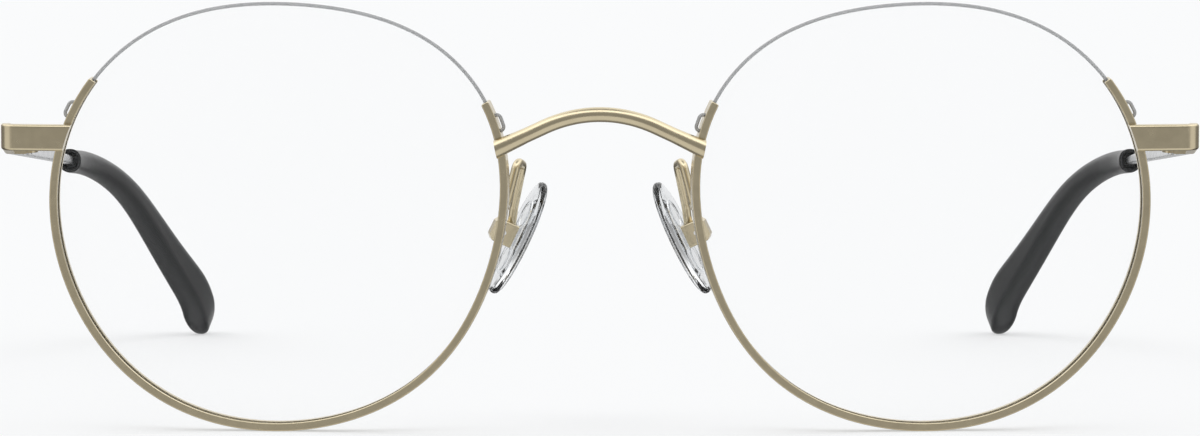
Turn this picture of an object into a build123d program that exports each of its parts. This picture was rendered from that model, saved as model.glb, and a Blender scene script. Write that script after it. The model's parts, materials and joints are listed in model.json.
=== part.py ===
"""Eyeglasses with round metal half-rims: the lenses hang over the open top on nylon filament.

Millimetres. X runs across, with the wearer's right side at -X. Y runs from the front to the
back, and Z is up. The glasses stand open on a table on the bottoms of the rims and the ends of
the temple tips, and the origin is the centre of their box, on the table. Every paired piece is
built once for the wearer's right side, and its left twin is the mirror image.
"""
from build123d import *
from math import cos, radians, sin
import os

os.makedirs("parts", exist_ok=True)

# Layout of the front
DEPTH_SHIFT = -67.17       # puts the middle of the whole depth at Y = 0
LENS_CENTRE_X = 36.0
LENS_CENTRE_DEPTH = 3.2    # depth of the rim's middle plane at the lens centre
FRONT_LEAN = 3.2           # degrees that the top of the front leans forward
FACE_WRAP = 5.0            # degrees that the outer side of each eye turns back

# Rim outline: mean radius, then the cosine and sine parts of its waves, one to five round the eye
OUTLINE_RADIUS = 25.33
OUTLINE_STEP = 10          # degrees between the points of its curve
OUTLINE_WAVES = [(0.07, 0.64), (0.70, 0.26), (-0.02, 0.56), (-0.32, 0.10), (-0.09, 0.03)]

# Rim and what lies in it
RIM_FACE = 0.9             # width of the rim's front face
RIM_DEPTH = 2.4
RIM_EDGE = 0.12            # rounding of the rim's long edges
RIM_END = 0.2              # rounding of the corners at its ends
CHANNEL_FLOOR = 0.25
CHANNEL_GAP = 0.05         # on each side of the lens
NASAL_END = 29.1           # polar angles of the rim's two ends, about the lens centre
TEMPORAL_END = 143.5
FILAMENT = 0.4             # diameter of the nylon
FILAMENT_HOLE = 0.52
FILAMENT_INSET = 0.46      # filament's centre line, below the rim's outer face
LOOP_SPACING = 4.0         # degrees between the two holes of a loop
NASAL_LOOP = 23.3          # polar angles of the middle of each loop
TEMPORAL_LOOP = 152.9
LOOP_RISE = 0.45           # loop's centre line, above the rim's outer face
LOOP_BEND = 0.5            # radius of its corners
STUB = 3.0                 # degrees of filament inside the channel past the last hole
RUN_STEP = 12.0            # degrees between the points of a run
RUN_OVERLAP = 0.3          # degrees that the filament's runs go past its holes

# Lens
LENS_INSET = 0.40          # lens edge, below the rim's outer face
LENS_THICKNESS = 1.1
LENS_CURVE = 130.0         # radius of the front surface
LENS_REACH = 25.3          # radius where that surface comes back to the rim's middle plane
GROOVE_DEPTH = 0.28
GROOVE_WIDTH = 0.46

# Bridge
BRIDGE_ANGLE = 17.8        # where the bridge meets the rim, about the lens centre
BRIDGE_HEIGHT = 1.62
BRIDGE_BULGE = 1.35        # thickness of the half-round bar
BRIDGE_SIDE = 0.3          # flat sides of the bar, before it turns round
BRIDGE_EDGE = 0.12         # chamfer along its back
BRIDGE_FLARE = 3.2         # length over which the bar widens towards the rim
BRIDGE_FOOT = 2.15         # its height where it meets the rim
BRIDGE_OVERRUN = 1.5       # past the middle of the rim, before it is cut back to the eye
BRIDGE_BEND = 14.6         # radius of the arch
BRIDGE_SLOPE = 25.0        # degrees, at the ends

# Endpiece and hinge
ENDPIECE_HEIGHT = 2.96
ENDPIECE_THICKNESS = 1.25
ENDPIECE_EDGE = 0.32       # rounding of its long edges
ENDPIECE_Z = 33.05         # middle of the bar at the front
ENDPIECE_FOOT = 160        # polar angle where the bar starts, about the lens centre
FOOT_OVERRUN = 1.5         # past the rim's inner face, before it is cut back to the eye
FOOT_SINK = 0.05           # into the rim's front face
HINGE_Z = 32.28            # the bar slopes down to the hinge
HALF_WIDTH = 67.2          # outermost point of the endpiece
CORNER_BEND = 0.85         # radius of the corner's middle line
HINGE_DEPTH = 10.0
BARREL_RADIUS = 1.2
BARREL_OFFSET = 2.6        # from the outer face of the endpiece to the hinge axis
KNUCKLE = 0.8
KNUCKLE_GAP = 0.04
SCREW_RADIUS = 0.55
SCREW_HEAD = (0.95, 0.3)   # radius and height
SCREW_SLOT = (0.28, 0.16)  # width and depth
SCREW_END = 0.25           # of the screw, below the barrel
RUNNING_GAP = 0.04
BUTT_GAP = 0.04
LEAF_THICKNESS = 0.65      # plates that carry the knuckles
LEAF_HEIGHT = 2.1
LEAF_REACH = 5.4           # from the hinge axis
LEAF_START = 1.7
LEAF_SINK = 0.1            # into the bar that it is soldered to
WEB = (0.5, 2.1)           # from the leaf to the knuckle, where it starts and ends beside the axis

# Temple arm and tip
ARM_THICKNESS = 1.2
ARM_HEIGHT = 2.9
ARM_EDGE = 0.3             # rounding of its long edges
CORE_WIRE = 0.95
CORE_REACH = 0.66          # fraction of the tip that the arm's wire reaches
# Middle line of the tip at even steps, from its mouth to its end
TIP_ROUTE = [
    (-64.74, 88.0, 25.11), (-62.86, 98.83, 23.81), (-59.62, 109.19, 20.52),
    (-56.67, 118.78, 15.17), (-53.42, 127.59, 8.7), (-50.55, 135.45, 0.45),
]
TIP_HEADING = (0.05, 1.0, -0.09)
TIP_FALL = (0.15, 0.56, -0.82)
TIP_THICK = (2.7, 3.1)
TIP_TALL = (2.85, 6.3)
TIP_NOSE_START = 0.925     # fraction of the length where the end starts to round off
TIP_END = 0.998
SOCKET_LIP = 0.9           # depth of the countersunk mouth
SOCKET_WALL = 0.4
SOCKET_TAPER = 20
CORE_GAP = 0.02            # all round the arm's wire

# Nose pad, its box and its wire
PAD_CENTRE = (-9.0, 9.5, 21.2)
PAD_HEAD = (0.43, -0.03, 0.9)   # direction of the pad's length, towards its upper end
PAD_SPLAY = 12.0
PAD_LENGTH = 13.8
PAD_WIDTH = 7.6
PAD_THICKNESS = 1.4
PAD_ROUNDING = (0.28, 0.62)     # of its outer and nose side edges, as shares of the thickness
CORE_LENGTH = 9.2
CORE_WIDTH = 4.4
CORE_THICKNESS = 0.5
CORE_CLEARANCE = 0.03           # round the core in its pocket
CORE_HOLE = (2.6, 2.9)          # across and along each of the two oval holes in the core
CORE_HOLE_PLACE = 2.75          # from the middle of the core
BOX_SIZE = (2.7, 2.65, 2.2)      # away from the pad, along it, and from front to back
BOX_GAP = 0.2                   # from the pad to its box
LUG_SIZE = (1.4, 0.9)           # the core's lug, along the pad and from front to back
BOX_CHAMFER = 0.5
BOX_EDGE = 0.22                 # rounding of the edges that run towards the pad
BOX_WALL = (0.45, 0.18)         # at its back and at its two ends
BOX_PLAY = 0.05                 # on each side of the lug
PAD_SCREW_RADIUS = 0.25
PAD_SCREW_HEAD = (0.4, 0.2)     # radius and height
PAD_SCREW_CROSS = (0.46, 0.11, 0.12)    # length, width and depth of the recess
PAD_WIRE = 1.0
PAD_WIRE_ANGLE = 2.0            # where the wire is soldered on the rim's back, about the lens centre
PAD_WIRE_STAND = 1.2            # from the rim's back to the wire's first bend
PAD_WIRE_ROUTE = [(-9.25, 4.7, 30.3), (-8.7, 6.7, 29.8), (-9.7, 9.3, 24.9), (-9.95, 9.5, 23.0)]
PAD_WIRE_BENDS = [0.8, 1.0, 0.8, 1.2]

LEAN = radians(FRONT_LEAN)
WRAP = radians(FACE_WRAP)


def shifted(point):
    """A point given by its depth behind the bridge, in the part's own frame."""
    return Vector(point[0], point[1] + DEPTH_SHIFT, point[2])


def outline_radius(angle):
    """Radius of the rim's outer face about the lens centre: round, a little full at the upper corners."""
    radius = OUTLINE_RADIUS
    for count, (cosine, sine) in enumerate(OUTLINE_WAVES, 1):
        radius += cosine * cos(count * radians(angle)) + sine * sin(count * radians(angle))
    return radius


def outline_point(angle, inset=0.0):
    """Point of the outline at a polar angle, moved inwards at right angles to it."""
    radius = outline_radius(angle)
    rise = outline_radius(angle + 0.5) - outline_radius(angle - 0.5)
    run = radius * radians(1)
    outwards = Vector(run, -rise).normalized().rotate(Axis.Z, angle)
    return Vector(radius, 0).rotate(Axis.Z, angle) - outwards * inset


def closed_outline(inset):
    """The whole outline, as one smooth closed curve."""
    Spline(*[outline_point(angle, inset) for angle in range(0, 360, OUTLINE_STEP)], periodic=True)


lowest = outline_radius(270) - RIM_EDGE
lens_centre_z = lowest * cos(LEAN) + (RIM_DEPTH / 2 - RIM_EDGE) * sin(LEAN) + RIM_EDGE
eye = Plane(
    origin=shifted((-LENS_CENTRE_X, LENS_CENTRE_DEPTH, lens_centre_z)),
    x_dir=(cos(WRAP), -sin(WRAP), 0),
    z_dir=(-sin(WRAP) * cos(LEAN), -cos(WRAP) * cos(LEAN), -sin(LEAN)),
)


def radial_plane(angle, inset=0.0):
    """Plane across a hole through the rim, that faces outwards from the lens."""
    outwards = outline_point(angle, -1) - outline_point(angle)
    place = eye.from_local_coords(outline_point(angle, inset))
    return Plane(origin=place, z_dir=eye.from_local_coords(outwards) - eye.origin, x_dir=eye.z_dir)


# Shells that the lens and its channel are cut from: x and y in the eye's plane, bulging to the front
edge_drop = LENS_CURVE - (LENS_CURVE ** 2 - LENS_REACH ** 2) ** 0.5
sphere_centre = eye.from_local_coords((0, 0, LENS_THICKNESS / 2 + edge_drop - LENS_CURVE))


def cut_to_shell(gap):
    """Keeps what lies in the lens's own thickness, and a gap on each side, of the part that is being built."""
    with Locations(sphere_centre):
        Sphere(LENS_CURVE + gap, mode=Mode.INTERSECT)
        Sphere(LENS_CURVE - LENS_THICKNESS - gap, mode=Mode.SUBTRACT)


with BuildPart() as channel:
    with BuildSketch(eye.offset(-RIM_DEPTH)):
        with BuildLine():
            closed_outline(CHANNEL_FLOOR)
        make_face()
        with BuildLine():
            closed_outline(RIM_FACE + 0.5)
        make_face(mode=Mode.SUBTRACT)
    extrude(amount=2 * RIM_DEPTH)
    cut_to_shell(CHANNEL_GAP)

# Rim: a channel section round the bottom and the sides of the lens
with BuildPart() as rim:
    with BuildSketch(eye.offset(-RIM_DEPTH / 2)) as face:
        with BuildLine():
            closed_outline(0)
        make_face()
        with BuildLine():
            closed_outline(RIM_FACE)
        make_face(mode=Mode.SUBTRACT)
        with BuildLine():
            mouth = [(40, NASAL_END), (60, 60), (60, 110), (40, TEMPORAL_END)]
            corners = [Vector(reach, 0).rotate(Axis.Z, angle) for reach, angle in mouth]
            Polyline((0, 0), *corners, close=True)
        make_face(mode=Mode.SUBTRACT)
        fillet(face.vertices(), RIM_END)
    extrude(amount=RIM_DEPTH)
    fillet(faces().filter_by(eye).edges(), RIM_EDGE)
    add(channel.part, mode=Mode.SUBTRACT)
    for loop in (NASAL_LOOP, TEMPORAL_LOOP):
        for side in (-0.5, 0.5):
            with BuildSketch(radial_plane(loop + side * LOOP_SPACING, 1.5)):
                Circle(FILAMENT_HOLE / 2)
            extrude(amount=2.5, mode=Mode.SUBTRACT)

# Lens: a shallow meniscus, cut to the outline, with a groove round its edge
with BuildPart() as lens:
    with BuildSketch(eye.offset(-3)):
        with BuildLine():
            closed_outline(LENS_INSET)
        make_face()
    extrude(amount=9)
    cut_to_shell(0)
    with BuildSketch(eye.offset(-GROOVE_WIDTH / 2)):
        with BuildLine():
            closed_outline(0)
        make_face()
        with BuildLine():
            closed_outline(LENS_INSET + GROOVE_DEPTH)
        make_face(mode=Mode.SUBTRACT)
    extrude(amount=GROOVE_WIDTH, mode=Mode.SUBTRACT)


def filament_run(start, end, inset):
    """Filament along the outline, in the part that is being built."""
    steps = max(2, round((end - start) / RUN_STEP))
    angles = [start + (end - start) * k / steps for k in range(steps + 1)]
    with BuildLine() as run:
        Spline(*[eye.from_local_coords(outline_point(angle, inset)) for angle in angles])
    with BuildSketch(Plane(origin=run.line @ 0, z_dir=run.line % 0)) as section:
        Circle(FILAMENT / 2)
    sweep(section.sketch, path=run.line)


def filament_loop(angle):
    """Loop of filament that leaves the rim by one hole and comes back in by the other."""
    holes = [angle - LOOP_SPACING / 2, angle + LOOP_SPACING / 2]
    corners = [
        outline_point(holes[0], FILAMENT_INSET),
        outline_point(holes[0], -LOOP_RISE),
        outline_point(holes[1], -LOOP_RISE),
        outline_point(holes[1], FILAMENT_INSET),
    ]
    with BuildLine() as loop:
        FilletPolyline(*[eye.from_local_coords(point) for point in corners], radius=LOOP_BEND)
    with BuildSketch(Plane(origin=loop.line @ 0, z_dir=loop.line % 0)) as section:
        Circle(FILAMENT / 2)
    sweep(section.sketch, path=loop.line)


# Nylon cord over the top of the lens, looped through both ends of the rim
nasal_hole = NASAL_LOOP + LOOP_SPACING / 2
temporal_hole = TEMPORAL_LOOP - LOOP_SPACING / 2
with BuildPart() as nylon_cord:
    filament_run(nasal_hole - RUN_OVERLAP, temporal_hole + RUN_OVERLAP, FILAMENT_INSET)
    filament_loop(NASAL_LOOP)
    filament_loop(TEMPORAL_LOOP)
    for hole, end in ((nasal_hole - LOOP_SPACING, -STUB), (temporal_hole + LOOP_SPACING, STUB)):
        overlap = RUN_OVERLAP if end < 0 else -RUN_OVERLAP
        filament_run(min(hole + overlap, hole + end), max(hole + overlap, hole + end), FILAMENT_INSET)

# Liner in the rest of the channel, which the lens groove sits on
with BuildPart() as rim_liner:
    filament_run(temporal_hole + LOOP_SPACING + STUB + 1, nasal_hole - LOOP_SPACING - STUB + 359, FILAMENT_INSET)

# Blank that fills the eye inside the rim: whatever is soldered on the front is cut back to it
with BuildPart() as eye_opening:
    with BuildSketch(eye.offset(-RIM_DEPTH)):
        with BuildLine():
            closed_outline(RIM_FACE)
        make_face()
    extrude(amount=3 * RIM_DEPTH)

# Bridge: a half-round bar that arches over the nose, soldered on the front of both rims
bridge_end = eye.from_local_coords(outline_point(BRIDGE_ANGLE, RIM_FACE / 2) + Vector(0, 0, RIM_DEPTH / 2))
bend = radians(BRIDGE_SLOPE)
arc_run = BRIDGE_BEND * sin(bend)
arc_drop = BRIDGE_BEND * (1 - cos(bend))
straight_run = -bridge_end.X - arc_run
bridge_rise = arc_drop + straight_run * sin(bend) / cos(bend)
bridge_up = Vector(0, -sin(LEAN), cos(LEAN))
bridge_front = Vector(0, -cos(LEAN), -sin(LEAN))
bridge_apex = Vector(0, bridge_end.Y, bridge_end.Z) + bridge_up * bridge_rise
bridge_plane = Plane(origin=bridge_apex, x_dir=(1, 0, 0), z_dir=bridge_front)


def bar_section(plane, height):
    """Half-round section, flat at the back, with x to the front."""
    half = height / 2
    with BuildSketch(plane) as section:
        with BuildLine():
            top = (BRIDGE_SIDE, half)
            bottom = (BRIDGE_SIDE, -half)
            Polyline(top, (-BRIDGE_EDGE, half - BRIDGE_EDGE), (-BRIDGE_EDGE, BRIDGE_EDGE - half), bottom)
            ThreePointArc(bottom, (BRIDGE_BULGE, 0), top)
        make_face()
    return section.sketch


with BuildPart() as bridge:
    with BuildLine(bridge_plane) as arch:
        curve = JernArc(start=(0, 0), tangent=(-1, 0), radius=BRIDGE_BEND, arc_size=BRIDGE_SLOPE)
        Line(curve @ 1, curve @ 1 + curve % 1 * (straight_run / cos(bend) - BRIDGE_FLARE))
    sweep(bar_section(Plane(origin=bridge_apex, x_dir=bridge_front, z_dir=(-1, 0, 0)), BRIDGE_HEIGHT), path=arch.line)
    slope = arch.line % 1
    flare_start = Plane(origin=arch.line @ 1, x_dir=bridge_front, z_dir=slope)
    flare_end = Plane(origin=arch.line @ 1 + slope * (BRIDGE_FLARE + BRIDGE_OVERRUN), x_dir=bridge_front, z_dir=slope)
    loft([bar_section(flare_start, BRIDGE_HEIGHT), bar_section(flare_end, BRIDGE_FOOT)])
    add(rim.part, mode=Mode.SUBTRACT)
    add(eye_opening.part, mode=Mode.SUBTRACT)
    mirror(about=Plane.YZ)

# Endpiece: a flat bar on the front of the rim, bent back and down to carry the hinge
hinge_up = bridge_up
hinge_back = bridge_front * -1
hinge_axis = shifted((BARREL_OFFSET - HALF_WIDTH, HINGE_DEPTH, HINGE_Z))
hinge = Plane(origin=hinge_axis, x_dir=(1, 0, 0), z_dir=hinge_up)
rim_side = hinge.to_local_coords(
    eye.from_local_coords(outline_point(ENDPIECE_FOOT, RIM_FACE) + Vector(0, 0, RIM_DEPTH / 2))
)


def upright_section(point, height, thickness, rounding):
    """Section of a bar that runs back, given by its middle in the hinge plane's coordinates."""
    with BuildSketch(Plane(origin=hinge.from_local_coords(point), x_dir=hinge_up, z_dir=hinge_back)) as section:
        RectangleRounded(height, thickness, rounding)
    return section.sketch


# Middle line of the bar: x inwards, y back and z up the hinge axis
outer_line = -BARREL_OFFSET + ENDPIECE_THICKNESS / 2
foot_y = rim_side.Y - ENDPIECE_THICKNESS / 2 + FOOT_SINK
bar_rise = (ENDPIECE_Z - HINGE_Z - foot_y * sin(LEAN)) / cos(LEAN)
bar_start = Vector(rim_side.X + FOOT_OVERRUN, foot_y, bar_rise)
outwards = Vector(-cos(WRAP), sin(WRAP))
corner = bar_start + outwards * ((bar_start.X - outer_line) / cos(WRAP))
bend_end = corner + Vector(0, CORNER_BEND * 1.2)
bar_end = Vector(outer_line, -BUTT_GAP / 2, 0)
bar_slope = (bar_end.Z - bend_end.Z) / (bar_end.Y - bend_end.Y)
with BuildPart() as endpiece:
    with BuildLine() as bar:
        points = [hinge.from_local_coords(point) for point in (bar_start, corner, bend_end)]
        FilletPolyline(*points, radius=CORNER_BEND)
    with BuildSketch(Plane(origin=bar.line @ 0, x_dir=hinge_up, z_dir=bar.line % 0)) as section:
        RectangleRounded(ENDPIECE_HEIGHT, ENDPIECE_THICKNESS, ENDPIECE_EDGE)
    sweep(section.sketch, path=bar.line)
    section = (ENDPIECE_HEIGHT, ENDPIECE_THICKNESS, ENDPIECE_EDGE)
    loft([upright_section(bend_end, *section), upright_section(bar_end, *section)])
    add(rim.part, mode=Mode.SUBTRACT)
    add(eye_opening.part, mode=Mode.SUBTRACT)

# Temple arm's first section, level with the end of the endpiece
arm_x = -BARREL_OFFSET + ARM_THICKNESS / 2
arm_start = Vector(arm_x, BUTT_GAP / 2, 0)
arm_end = hinge.to_local_coords(shifted(TIP_ROUTE[0]))
arm_slope = (arm_end.Z - arm_start.Z) / (arm_end.Y - arm_start.Y)


def hinge_leaf(face, side, slope):
    """Plate on a bar's inner face, on one side of the hinge axis (-1 front, 1 back), that slopes with the bar."""
    sections = []
    for reach in (LEAF_START, LEAF_REACH):
        middle = Vector(face + LEAF_THICKNESS / 2 - LEAF_SINK, side * reach, side * reach * slope)
        sections.append(upright_section(middle, LEAF_HEIGHT, LEAF_THICKNESS, LEAF_SINK))
    loft(sections)


def knuckle(level, face, side):
    """One knuckle of the barrel, with a web to its leaf."""
    with BuildSketch(hinge.offset(level * (KNUCKLE + KNUCKLE_GAP) - KNUCKLE / 2)) as section:
        Circle(BARREL_RADIUS)
        with Locations((face / 2, side * sum(WEB) / 2)):
            Rectangle(-face, WEB[1] - WEB[0])
    extrude(section.sketch, amount=KNUCKLE)


# Front half of the hinge: two outer knuckles on the inner face of the endpiece
with BuildPart() as hinge_front:
    knuckle(-1, -BARREL_OFFSET + ENDPIECE_THICKNESS, -1)
    knuckle(1, -BARREL_OFFSET + ENDPIECE_THICKNESS, -1)
    hinge_leaf(-BARREL_OFFSET + ENDPIECE_THICKNESS, -1, bar_slope)
    with Locations(hinge.location):
        Cylinder(SCREW_RADIUS, 8, mode=Mode.SUBTRACT)
    add(endpiece.part, mode=Mode.SUBTRACT)

# Hinge screw: the hinge's pin, with a slotted head on top
barrel_half = 1.5 * KNUCKLE + KNUCKLE_GAP
with BuildPart() as hinge_screw:
    with BuildSketch(hinge.offset(-barrel_half - SCREW_END)):
        Circle(SCREW_RADIUS)
    extrude(amount=2 * barrel_half + SCREW_END)
    with BuildSketch(hinge.offset(barrel_half)):
        Circle(SCREW_HEAD[0])
    extrude(amount=SCREW_HEAD[1])
    fillet(edges().group_by(Axis(hinge.origin, hinge.z_dir))[-1], SCREW_HEAD[1] / 2)
    with BuildSketch(hinge.offset(barrel_half + SCREW_HEAD[1] - SCREW_SLOT[1])):
        Rectangle(3, SCREW_SLOT[0])
    extrude(amount=1, mode=Mode.SUBTRACT)

# Middle line of the temple tip
with BuildLine() as tip_line:
    ends = [Vector(*TIP_HEADING), Vector(*TIP_FALL)]
    Spline(*[shifted(point) for point in TIP_ROUTE], tangents=ends)
tip_spine = tip_line.edge()
tip_length = tip_spine.length


def tip_plane(fraction):
    """Plane across the tip at a fraction of its length, with x inwards and level."""
    place = tip_spine.position_at(fraction * tip_length, PositionMode.LENGTH)
    direction = tip_spine.tangent_at(fraction * tip_length, PositionMode.LENGTH)
    level_in = Vector(direction.Y, -direction.X, 0).normalized()
    return Plane(origin=place, x_dir=level_in, z_dir=direction)


def tip_curve(end):
    """Middle line of the tip from its mouth."""
    planes = [tip_plane(end * k / 6) for k in range(7)]
    Spline(*[plane.origin for plane in planes], tangents=[planes[0].z_dir, planes[-1].z_dir])


def tip_section_loft(fractions):
    """Stretch of the tip through sections at even steps, in the part that is being built."""
    sections = []
    for fraction in fractions:
        to_end = min(1, (1 - fraction) / (1 - TIP_NOSE_START))
        rounding = (1 - (1 - to_end) ** 2) ** 0.5
        thick = (TIP_THICK[0] + (TIP_THICK[1] - TIP_THICK[0]) * fraction) * rounding
        tall = (TIP_TALL[0] + (TIP_TALL[1] - TIP_TALL[0]) * fraction ** 2.5) * rounding
        with BuildSketch(tip_plane(fraction)) as section:
            RectangleRounded(thick, tall, thick * 0.46)
        sections.append(section.sketch)
    loft(sections)


# Temple arm: a tapered bar that runs back from the hinge, and a wire inside the tip
mouth_plane = tip_plane(0)
with BuildPart() as temple_arm:
    with BuildSketch(Plane(origin=hinge.from_local_coords(arm_start), x_dir=(1, 0, 0), z_dir=hinge_back)):
        RectangleRounded(ARM_THICKNESS, ARM_HEIGHT, ARM_EDGE)
    with BuildSketch(Plane(origin=mouth_plane.origin, x_dir=(1, 0, 0), z_dir=mouth_plane.z_dir)):
        RectangleRounded(CORE_WIRE, CORE_WIRE, ARM_EDGE)
    loft()
    with BuildLine() as core:
        tip_curve(CORE_REACH)
    with BuildSketch(mouth_plane):
        RectangleRounded(CORE_WIRE, CORE_WIRE, ARM_EDGE)
    sweep(path=core.line)

# Rear half of the hinge: the middle knuckle, on the inner face of the arm
with BuildPart() as hinge_rear:
    knuckle(0, -BARREL_OFFSET + ARM_THICKNESS, 1)
    hinge_leaf(-BARREL_OFFSET + ARM_THICKNESS, 1, arm_slope)
    with Locations(hinge.location):
        Cylinder(SCREW_RADIUS + RUNNING_GAP, 8, mode=Mode.SUBTRACT)
    add(temple_arm.part, mode=Mode.SUBTRACT)

# Temple tip: a moulded sleeve that swells into a flat paddle
with BuildPart() as temple_tip:
    tip_section_loft([TIP_NOSE_START * k / 9 for k in range(10)])
    tip_section_loft([TIP_NOSE_START + (TIP_END - TIP_NOSE_START) * k / 6 for k in range(7)])
    with BuildLine() as bore:
        tip_curve(CORE_REACH + 0.01)
    with BuildSketch(mouth_plane):
        RectangleRounded(CORE_WIRE + 2 * CORE_GAP, CORE_WIRE + 2 * CORE_GAP, ARM_EDGE)
    sweep(path=bore.line, mode=Mode.SUBTRACT)
    with BuildSketch(mouth_plane):
        RectangleRounded(TIP_THICK[0] - 2 * SOCKET_WALL, TIP_TALL[0] - 2 * SOCKET_WALL, 0.7)
    extrude(amount=SOCKET_LIP, taper=SOCKET_TAPER, mode=Mode.SUBTRACT)

# Nose pad frame: x along the pad, y front to back across it, z out of its nose side
pad_head = Vector(*PAD_HEAD).normalized()
pad_face = Vector(pad_head.Z, 0, -pad_head.X).normalized().rotate(Axis((0, 0, 0), pad_head), PAD_SPLAY)
pad = Plane(origin=shifted(PAD_CENTRE), x_dir=pad_head, z_dir=pad_face)
outer_side = -PAD_THICKNESS / 2
box_near = outer_side - BOX_GAP
box_middle = box_near - BOX_SIZE[0] / 2



def core_outline(gap):
    """Plate with two oval holes, in the sketch that is being drawn; gap widens it all round."""
    SlotOverall(CORE_LENGTH + 2 * gap, CORE_WIDTH + 2 * gap)
    with Locations((-CORE_HOLE_PLACE, 0), (CORE_HOLE_PLACE, 0)):
        Ellipse(CORE_HOLE[1] / 2 - gap, CORE_HOLE[0] / 2 - gap, mode=Mode.SUBTRACT)


# Pad core: a harder insert, set in the pad's outer side, with a lug for the screw
box_plane = Plane(origin=pad.from_local_coords((0, 0, box_middle)), x_dir=pad_head, z_dir=pad_face)
screw_plane = Plane(origin=box_plane.origin, x_dir=pad_head, z_dir=pad.y_dir * -1)
with BuildPart() as pad_core:
    with BuildSketch(pad.offset(outer_side)):
        core_outline(0)
    extrude(amount=CORE_THICKNESS)
    with BuildSketch(pad.offset(outer_side)):
        Rectangle(*LUG_SIZE)
    extrude(amount=-(outer_side - box_middle) - LUG_SIZE[0] / 2)
    with Locations(screw_plane.location):
        Cylinder(PAD_SCREW_RADIUS + RUNNING_GAP, BOX_SIZE[2], mode=Mode.SUBTRACT)

# Nose pad: a soft oval cushion round the core
with BuildPart() as nose_pad:
    with BuildSketch(pad.offset(outer_side)):
        Ellipse(PAD_LENGTH / 2, PAD_WIDTH / 2)
    extrude(amount=PAD_THICKNESS)
    fillet(edges().group_by(Axis(pad.origin, pad.z_dir))[-1], PAD_THICKNESS * PAD_ROUNDING[1])
    fillet(edges().group_by(Axis(pad.origin, pad.z_dir))[0], PAD_THICKNESS * PAD_ROUNDING[0])
    with BuildSketch(pad.offset(outer_side)):
        core_outline(CORE_CLEARANCE)
    extrude(amount=CORE_THICKNESS, mode=Mode.SUBTRACT)

# Pad box: a small folded box that the core's lug sits in
with BuildPart() as box_blank:
    with BuildSketch(box_plane.offset(-BOX_SIZE[0] / 2)):
        Rectangle(BOX_SIZE[1], BOX_SIZE[2])
    extrude(amount=BOX_SIZE[0])
    back_face = faces().sort_by(Axis(box_plane.origin, box_plane.z_dir))[0]
    chamfer(back_face.edges(), BOX_CHAMFER)
    fillet(edges().filter_by(Axis(box_plane.origin, box_plane.z_dir)), BOX_EDGE)
with BuildPart() as pad_box:
    add(box_blank.part)
    with BuildSketch(box_plane.offset(-BOX_SIZE[0] / 2 + BOX_WALL[0])):
        Rectangle(BOX_SIZE[1] - 2 * BOX_WALL[1], LUG_SIZE[1] + 2 * BOX_PLAY)
    extrude(amount=BOX_SIZE[0], mode=Mode.SUBTRACT)
    with Locations(screw_plane.location):
        Cylinder(PAD_SCREW_RADIUS, 2 * BOX_SIZE[2], mode=Mode.SUBTRACT)

# Pad screw: a small pan head with a cross recess
head_seat = BOX_SIZE[2] / 2
with BuildPart() as pad_screw:
    with BuildSketch(screw_plane.offset(-head_seat)):
        Circle(PAD_SCREW_RADIUS)
    extrude(amount=2 * head_seat)
    with BuildSketch(screw_plane.offset(head_seat)):
        Circle(PAD_SCREW_HEAD[0])
    extrude(amount=PAD_SCREW_HEAD[1])
    fillet(edges().group_by(Axis(screw_plane.origin, screw_plane.z_dir))[-1], PAD_SCREW_HEAD[1] / 2)
    with BuildSketch(screw_plane.offset(head_seat + PAD_SCREW_HEAD[1] - PAD_SCREW_CROSS[2])):
        Rectangle(PAD_SCREW_CROSS[0], PAD_SCREW_CROSS[1])
        Rectangle(PAD_SCREW_CROSS[1], PAD_SCREW_CROSS[0])
    extrude(amount=1, mode=Mode.SUBTRACT)

# Pad arm: a hairpin of wire from the back of the rim to the top of the pad box
solder = outline_point(PAD_WIRE_ANGLE, RIM_FACE / 2) + Vector(0, 0, -RIM_DEPTH / 2)
first_bend = solder + Vector(0, 0, -PAD_WIRE_STAND)
wire_start = [eye.from_local_coords(solder), eye.from_local_coords(first_bend)]
with BuildPart() as pad_arm:
    with BuildLine() as wire:
        FilletPolyline(*wire_start, *[shifted(point) for point in PAD_WIRE_ROUTE], radius=PAD_WIRE_BENDS)
    with BuildSketch(Plane(origin=wire.line @ 0, z_dir=wire.line % 0)):
        Circle(PAD_WIRE / 2)
    sweep(path=wire.line)
    add(box_blank.part, mode=Mode.SUBTRACT)

pairs = {
    "rim": rim, "lens": lens, "nylon_cord": nylon_cord, "rim_liner": rim_liner, "endpiece": endpiece,
    "hinge_front": hinge_front, "hinge_rear": hinge_rear, "hinge_screw": hinge_screw,
    "temple_arm": temple_arm, "temple_tip": temple_tip, "nose_pad": nose_pad, "pad_core": pad_core,
    "pad_box": pad_box, "pad_screw": pad_screw, "pad_arm": pad_arm,
}
bridge.part.label = "bridge"
export_step(bridge.part, "parts/bridge.step")
for name, right in pairs.items():
    right.part.label = "right_" + name
    export_step(right.part, "parts/right_" + name + ".step")
    left = mirror(right.part, about=Plane.YZ, mode=Mode.PRIVATE)
    left.label = "left_" + name
    export_step(left, "parts/left_" + name + ".step")
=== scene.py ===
"""Looks for round metal half-rim eyeglasses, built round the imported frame. Metres, +Z up, front at -Y."""
import json
from math import cos, radians, sin, tau

import bmesh
import bpy
from mathutils import Matrix, Vector


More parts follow.
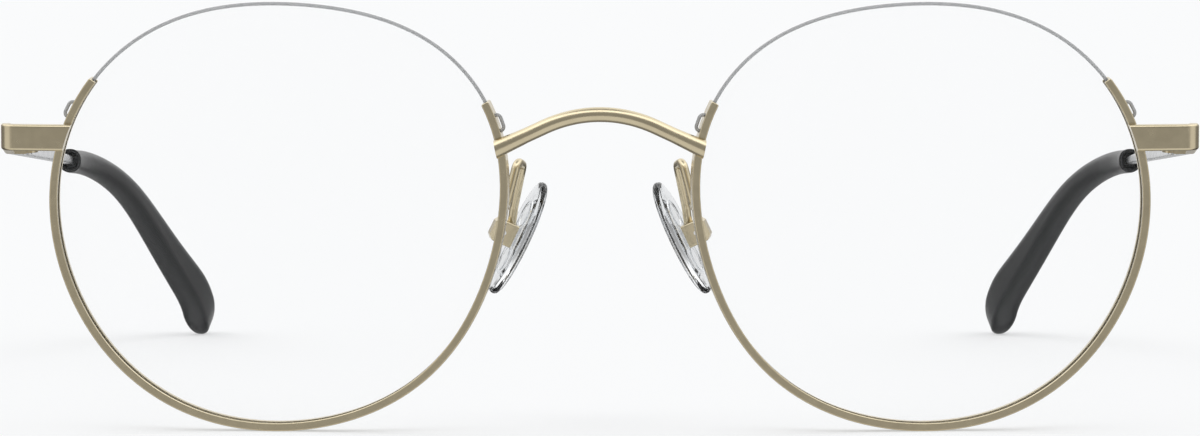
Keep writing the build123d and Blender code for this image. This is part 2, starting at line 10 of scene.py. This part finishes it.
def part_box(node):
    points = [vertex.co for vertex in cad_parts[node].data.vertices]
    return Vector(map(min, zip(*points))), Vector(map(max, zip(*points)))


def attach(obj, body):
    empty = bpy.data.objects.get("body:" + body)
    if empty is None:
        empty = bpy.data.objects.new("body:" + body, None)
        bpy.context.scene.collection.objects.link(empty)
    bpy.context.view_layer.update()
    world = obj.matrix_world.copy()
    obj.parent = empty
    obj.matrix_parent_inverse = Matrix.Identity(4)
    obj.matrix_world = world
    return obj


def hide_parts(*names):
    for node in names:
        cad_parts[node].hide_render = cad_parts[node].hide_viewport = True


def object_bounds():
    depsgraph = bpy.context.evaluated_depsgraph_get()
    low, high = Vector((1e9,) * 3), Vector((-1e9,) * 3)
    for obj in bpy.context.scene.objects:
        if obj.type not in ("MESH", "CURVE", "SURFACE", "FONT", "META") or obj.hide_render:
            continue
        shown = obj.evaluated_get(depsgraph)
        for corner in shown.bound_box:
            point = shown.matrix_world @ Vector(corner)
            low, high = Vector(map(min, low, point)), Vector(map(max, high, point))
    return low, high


MM = 0.001
SIDES = ("right", "left")

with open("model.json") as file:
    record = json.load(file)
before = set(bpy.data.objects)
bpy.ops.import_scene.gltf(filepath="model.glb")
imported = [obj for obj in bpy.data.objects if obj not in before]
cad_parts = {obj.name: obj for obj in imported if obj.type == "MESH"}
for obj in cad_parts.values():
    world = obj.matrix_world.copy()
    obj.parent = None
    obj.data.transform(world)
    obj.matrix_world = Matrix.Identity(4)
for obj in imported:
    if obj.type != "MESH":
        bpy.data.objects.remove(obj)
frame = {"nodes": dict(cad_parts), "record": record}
cad_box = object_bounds()
nodes = frame["nodes"]
front_y = cad_box[0][1]          # foremost point of the bridge


# ---------------------------------------------------------------- node helpers

NOISE_ROUGHNESS = 0.55
TONE_STOPS = (0.3, 0.7)          # most of a noise texture's values lie between these


def put(tree, node, key, value):
    """Links a socket to the node's input, or sets the input to a value."""
    if isinstance(value, bpy.types.NodeSocket):
        tree.links.new(value, node.inputs[key])
    else:
        node.inputs[key].default_value = value


def add_node(tree, kind, inputs, **settings):
    node = tree.nodes.new(kind)
    for key, value in settings.items():
        setattr(node, key, value)
    for key, value in inputs.items():
        put(tree, node, key, value)
    return node


def add_ramp(tree, factor, stops):
    """Colour ramp through (place, colour) stops."""
    node = add_node(tree, "ShaderNodeValToRGB", {"Fac": factor})
    elements = node.color_ramp.elements
    while len(elements) < len(stops):
        elements.new(0.5)
    for element, (place, colour) in zip(elements, stops):
        element.position = place
        element.color = (*colour, 1)
    return node.outputs["Color"]


class Nodes:
    """A new material, with short calls that add nodes to it."""

    def __init__(self, name):
        self.material = bpy.data.materials.new(name)
        self.material.use_nodes = True
        self.tree = self.material.node_tree
        self.shader = self.tree.nodes["Principled BSDF"]

    def add(self, kind, inputs):
        return add_node(self.tree, kind, inputs)

    def set(self, **inputs):
        for key, value in inputs.items():
            put(self.tree, self.shader, key.replace("_", " "), value)

    def noise(self, scale, detail):
        """Noise fixed to the object, with its scale in cells per metre."""
        place = self.add("ShaderNodeTexCoord", {}).outputs["Object"]
        inputs = {"Vector": place, "Scale": scale, "Detail": detail, "Roughness": NOISE_ROUGHNESS}
        return self.add("ShaderNodeTexNoise", inputs).outputs["Fac"]

    def tone(self, factor, dark, light):
        return add_ramp(self.tree, factor, ((TONE_STOPS[0], dark), (TONE_STOPS[1], light)))

    def span(self, factor, low, high, source=TONE_STOPS):
        inputs = {"Value": factor, "From Min": source[0], "From Max": source[1]}
        inputs.update({"To Min": low, "To Max": high})
        return self.add("ShaderNodeMapRange", inputs).outputs["Result"]

    def bump(self, height, distance, strength):
        inputs = {"Height": height, "Distance": distance, "Strength": strength}
        return self.add("ShaderNodeBump", inputs).outputs["Normal"]


# ---------------------------------------------------------------- materials

def plated_metal(name, dark, light, roughness, grain):
    """Satin plated metal: faint cloudy tone, uneven polish and fine blasted grain."""
    n = Nodes(name)
    n.set(
        Metallic=1.0,
        Base_Color=n.tone(n.noise(260.0, 3.0), dark, light),
        Roughness=n.span(n.noise(900.0, 5.0), *roughness),
        Normal=n.bump(n.noise(9000.0, 2.0), grain, 0.6),
    )
    return n.material


def tip_material():
    """Dark moulded plastic with a soft sheen."""
    n = Nodes("tip_plastic")
    n.set(
        Base_Color=n.tone(n.noise(420.0, 4.0), (0.011, 0.011, 0.0114), (0.015, 0.015, 0.0154)),
        Roughness=n.span(n.noise(700.0, 5.0), 0.30, 0.38),
        Normal=n.bump(n.noise(5200.0, 3.0), 0.000002, 0.4),
        IOR=1.46,
    )
    return n.material


def lens_material():
    """Clear lens, almost unseen face on and a little denser where its surface turns away."""
    n = Nodes("lens_plastic")
    turned_away = n.add("ShaderNodeLayerWeight", {"Blend": 0.28}).outputs["Facing"]
    n.set(
        Base_Color=(0.80, 0.84, 0.86, 1),
        Roughness=n.span(n.noise(60.0, 3.0), 0.02, 0.05),
        Alpha=n.span(turned_away, 0.015, 0.22, (0.25, 1.0)),
        IOR=1.3,
        Normal=n.bump(n.noise(150.0, 1.0), 0.000002, 0.2),
    )
    return n.material


def clear_plastic(name, colour, ior, roughness, ripple, transmission=1.0):
    """Clear plastic with a trace of uneven tone and ripple; a grey colour given to it is painted shade for
    the dark refraction through a clear piece.
    """
    n = Nodes(name)
    paler = tuple(1.03 * channel for channel in colour)
    n.set(
        Base_Color=n.tone(n.noise(500.0, 3.0), colour, paler),
        Roughness=n.span(n.noise(800.0, 4.0), *roughness),
        Transmission_Weight=transmission,
        IOR=ior,
        Normal=n.bump(n.noise(1300.0, 2.0), ripple, 0.5),
    )
    return n.material


# The pads' grey colour is painted shade, standing in for the dark refraction seen through the clear
# silicone.
silicone = clear_plastic("pad_silicone", (0.84, 0.85, 0.86), 1.41, (0.03, 0.08), 0.00001)
materials = {
    "champagne_metal": plated_metal(
        "champagne_metal", (0.585, 0.507, 0.350), (0.625, 0.545, 0.378), (0.20, 0.28), 0.0000012
    ),
    "silver_metal": plated_metal(
        "silver_metal", (0.50, 0.51, 0.525), (0.56, 0.57, 0.585), (0.20, 0.30), 0.0000012
    ),
    "screw_steel": plated_metal(
        "screw_steel", (0.80, 0.80, 0.81), (0.86, 0.86, 0.87), (0.08, 0.14), 0.000001
    ),
    "tip_plastic": tip_material(),
    "lens_plastic": lens_material(),
    # The nylon cord's grey colour is painted shade, standing in for the dark refracted edges of the clear
    # cord.
    "nylon": clear_plastic("nylon", (0.5, 0.505, 0.51), 1.53, (0.10, 0.20), 0.000002, 0.4),
    "pad_silicone": silicone,
    # The core's grey colour is painted shade, standing in for the dark refraction seen through the clear
    # core.
    "pad_core_plastic": clear_plastic("pad_core_plastic", (0.86, 0.87, 0.88), 1.49, (0.03, 0.07), 0.000006),
}
for subpart in frame["record"]["subparts"]:
    node = nodes[subpart["node"]]
    node.data.materials.clear()
    node.data.materials.append(materials[subpart["material_slot"]])
    if subpart["material_slot"] == "lens_plastic":
        node.visible_shadow = False


# ---------------------------------------------------------------- nose pads, in millimetres until placed

PAD_SPLAY = 12.0               # degrees that the pads turn to meet the sides of a nose
PAD_HEAD = Vector((0.43, -0.03, 0.9)).normalized()     # along the right pad, towards its upper end
square_face = Vector((PAD_HEAD.z, 0, -PAD_HEAD.x)).normalized()
PAD_FACE = Matrix.Rotation(radians(PAD_SPLAY), 3, PAD_HEAD) @ square_face     # out of its nose side
PAD_SIZE = (13.8, 7.6)
PAD_HALF_THICK = 0.7
PAD_SEGMENTS = 120
PAD_SMOOTH_ANGLE = 50          # degrees; sharper edges than this stay crisp
# Cross-section from the flat outer side round to the crown: shares of the outline and of half the thickness
PAD_PROFILE = [
    (0.30, -1.00), (0.62, -1.00), (0.86, -1.00), (0.93, -0.97), (0.965, -0.88), (0.985, -0.74),
    (0.996, -0.52), (1.0, -0.28), (0.998, -0.05), (0.99, 0.14), (0.974, 0.30), (0.962, 0.34),
    (0.950, 0.43), (0.925, 0.56), (0.89, 0.66), (0.84, 0.745), (0.76, 0.83), (0.64, 0.905),
    (0.48, 0.96), (0.30, 0.99),
]
POCKET = (9.26, 4.46)          # length and width of the pocket that the core sits in
POCKET_FLOOR = 0.5 - PAD_HALF_THICK
POCKET_START = -1.0            # the cutting tool starts clear of the outer side
POST = (2.84, 2.54)            # length and width of the two posts that fill the core's holes
POST_PLACE = 2.75              # from the middle of the pad
POST_LEVELS = (0.03 - PAD_HALF_THICK, POCKET_FLOOR + 0.15)


def closed_rings(bm, rings):
    """Skin through rings of points, closed with a fan at each end."""
    loops = [[bm.verts.new(point) for point in ring] for ring in rings]
    count = len(loops[0])
    for low, high in zip(loops, loops[1:]):
        for k in range(count):
            bm.faces.new((low[k], low[(k + 1) % count], high[(k + 1) % count], high[k]))
    for loop, flip in ((loops[0], True), (loops[-1], False)):
        middle = bm.verts.new(sum((vert.co for vert in loop), Vector()) / count)
        for k in range(count):
            pair = (loop[(k + 1) % count], loop[k]) if flip else (loop[k], loop[(k + 1) % count])
            bm.faces.new((*pair, middle))


def oval(length, width, height, middle=0.0):
    turns = [tau * k / PAD_SEGMENTS for k in range(PAD_SEGMENTS)]
    return [Vector((middle + length / 2 * cos(t), width / 2 * sin(t), height)) for t in turns]


def slot(length, width, height):
    """Straight-sided oval with round ends."""
    straight = (length - width) / 2
    points = []
    for k in range(PAD_SEGMENTS):
        turn = tau * (k + 0.5) / PAD_SEGMENTS
        end = straight if cos(turn) > 0 else -straight
        points.append(Vector((end + width / 2 * cos(turn), width / 2 * sin(turn), height)))
    return points


def solid(name, rings):
    mesh = bpy.data.meshes.new(name)
    bm = bmesh.new()
    closed_rings(bm, rings)
    bm.to_mesh(mesh)
    bm.free()
    made = bpy.data.objects.new(name, mesh)
    bpy.context.scene.collection.objects.link(made)
    return made


def cut(piece, tool, operation):
    """Boolean between two solids, applied at once."""
    modifier = piece.modifiers.new("cut", "BOOLEAN")
    modifier.object = tool
    modifier.operation = operation
    modifier.solver = "EXACT"
    mesh = bpy.data.meshes.new_from_object(piece.evaluated_get(bpy.context.evaluated_depsgraph_get()))
    piece.modifiers.clear()
    piece.data = mesh
    bpy.data.objects.remove(tool)


def place_pad(mesh, side):
    """Moves a pad made about the origin to the middle of its CAD node; the left one is a mirror image."""
    low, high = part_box("right_nose_pad")
    middle = (Vector(low) + Vector(high)) / 2
    turn = Matrix((PAD_HEAD, PAD_FACE.cross(PAD_HEAD), PAD_FACE)).transposed()
    mesh.transform(Matrix.Translation(middle) @ (turn * MM).to_4x4())
    if side == "left":
        mesh.transform(Matrix.Diagonal((-1, 1, 1, 1)))
        mesh.flip_normals()


def nose_pad(side):
    """Soft oval cushion with a crowned nose side, a stepped edge and a pocket for its core."""
    rings = [oval(PAD_SIZE[0] * share, PAD_SIZE[1] * share, PAD_HALF_THICK * z) for share, z in PAD_PROFILE]
    piece = solid(side + "_pad_cushion", rings)
    cut(piece, solid("pocket", [slot(*POCKET, POCKET_START), slot(*POCKET, POCKET_FLOOR)]), "DIFFERENCE")
    for middle in (-POST_PLACE, POST_PLACE):
        cut(piece, solid("post", [oval(*POST, level, middle) for level in POST_LEVELS]), "UNION")
    mesh = piece.data
    place_pad(mesh, side)
    mesh.materials.clear()
    mesh.materials.append(silicone)
    mesh.shade_smooth()
    mesh.set_sharp_from_angle(angle=radians(PAD_SMOOTH_ANGLE))
    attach(piece, side + "_pad")
    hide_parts(side + "_nose_pad")


for side in SIDES:
    nose_pad(side)


# ---------------------------------------------------------------- studio

FLOOR_HALF = 6.0
FLOOR_GLOW = 0.475             # lightens the shadows on the floor
# Brightness of the light tent by height, from straight down (-1) to straight up (1)
FRONT_TENT = [
    (-1, 0.95), (-0.34, 0.95), (-0.22, 0.38), (0.66, 0.38), (0.80, 2.2), (0.93, 2.2), (0.98, 0.5), (1, 0.5),
]
WING_TENT = [                  # in front, well to the sides
    (-1, 0.95), (-0.34, 0.95), (-0.22, 0.9), (0.5, 0.9), (0.80, 1.8), (0.93, 1.8), (0.98, 0.5), (1, 0.5),
]
REAR_TENT = [
    (-1, 0.3), (-0.4, 0.3), (-0.15, 0.95), (0.25, 1.0), (0.5, 1.25), (0.9, 1.25), (0.98, 0.5), (1, 0.5),
]
SIDE_TENT = [                  # behind, to the sides
    (-1, 0.1), (-0.4, 0.1), (0, 0.35), (0.3, 0.45), (0.55, 1.5), (0.9, 1.7), (0.98, 0.5), (1, 0.5),
]
BRIGHTEST = 2.2
REAR_EDGE = (-0.2, 0.2)        # direction's Y, over which the front gives way to the rear
WING_EDGE = (0.4, 0.7)         # direction's X, over which the front gives way to its wings
SIDE_EDGE = (0.28, 0.55)       # and the rear to its sides


def add_floor():
    look = Nodes("floor")
    look.set(
        Base_Color=(0.40, 0.404, 0.408, 1),
        Roughness=0.9,
        Emission_Color=(1.0, 1.005, 1.01, 1),
        Emission_Strength=FLOOR_GLOW,
        Specular_IOR_Level=0.0,
    )
    corners = [(x, y, 0) for x, y in ((-1, -1), (1, -1), (1, 1), (-1, 1))]
    mesh = bpy.data.meshes.new("floor")
    mesh.from_pydata([FLOOR_HALF * Vector(corner) for corner in corners], [], [(0, 1, 2, 3)])
    mesh.materials.append(look.material)
    floor = bpy.data.objects.new("floor", mesh)
    floor.visible_glossy = False
    bpy.context.scene.collection.objects.link(floor)


def studio_world():
    """Light tent, darker in front at eye level and low down behind, with a bright strip nearly overhead."""
    world = bpy.data.worlds.new("studio")
    world.use_nodes = True
    tree = world.node_tree
    coordinates = add_node(tree, "ShaderNodeTexCoord", {}).outputs["Generated"]
    direction = add_node(tree, "ShaderNodeSeparateXYZ", {"Vector": coordinates}).outputs
    whole_height = {"Value": direction["Z"], "From Min": -1.0, "From Max": 1.0}
    height = add_node(tree, "ShaderNodeMapRange", whole_height).outputs["Result"]
    sideways = add_node(tree, "ShaderNodeMath", {0: direction["X"]}, operation="ABSOLUTE").outputs["Value"]

    def tent(levels):
        stops = [((place + 1) / 2, (level / BRIGHTEST,) * 3) for place, level in levels]
        return add_ramp(tree, height, stops)

    def share(value, edge):
        inputs = {"Value": value, "From Min": edge[0], "From Max": edge[1]}
        node = add_node(tree, "ShaderNodeMapRange", inputs, interpolation_type="SMOOTHSTEP")
        return node.outputs["Result"]

    def mix(factor, first, second):
        """Inputs 6 and 7 and output 2 are the mix node's colour sockets."""
        return add_node(tree, "ShaderNodeMix", {0: factor, 6: first, 7: second}, data_type="RGBA").outputs[2]

    front = mix(share(sideways, WING_EDGE), tent(FRONT_TENT), tent(WING_TENT))
    rear = mix(share(sideways, SIDE_EDGE), tent(REAR_TENT), tent(SIDE_TENT))
    background = tree.nodes["Background"]
    put(tree, background, "Color", mix(share(direction["Y"], REAR_EDGE), front, rear))
    put(tree, background, "Strength", BRIGHTEST)
    bpy.context.scene.world = world


add_floor()
studio_world()

# ---------------------------------------------------------------- camera

CAMERA_BACK = 0.9358       # from the foremost point of the bridge
CAMERA_HEIGHT = 0.0902
CAMERA_PITCH = 4.021       # degrees below level
FOCAL = 252.5              # millimetres
SENSOR_WIDTH = 36          # millimetres
CLIP_START = 0.01

camera_data = bpy.data.cameras.new("camera")
camera_data.lens = FOCAL
camera_data.sensor_width = SENSOR_WIDTH
camera_data.clip_start = CLIP_START
camera = bpy.data.objects.new("camera", camera_data)
camera.location = (0, front_y - CAMERA_BACK, CAMERA_HEIGHT)
camera.rotation_euler = (radians(90 - CAMERA_PITCH), 0, 0)
bpy.context.scene.collection.objects.link(camera)
bpy.context.scene.camera = camera
bpy.context.scene.view_settings.view_transform = "Standard"
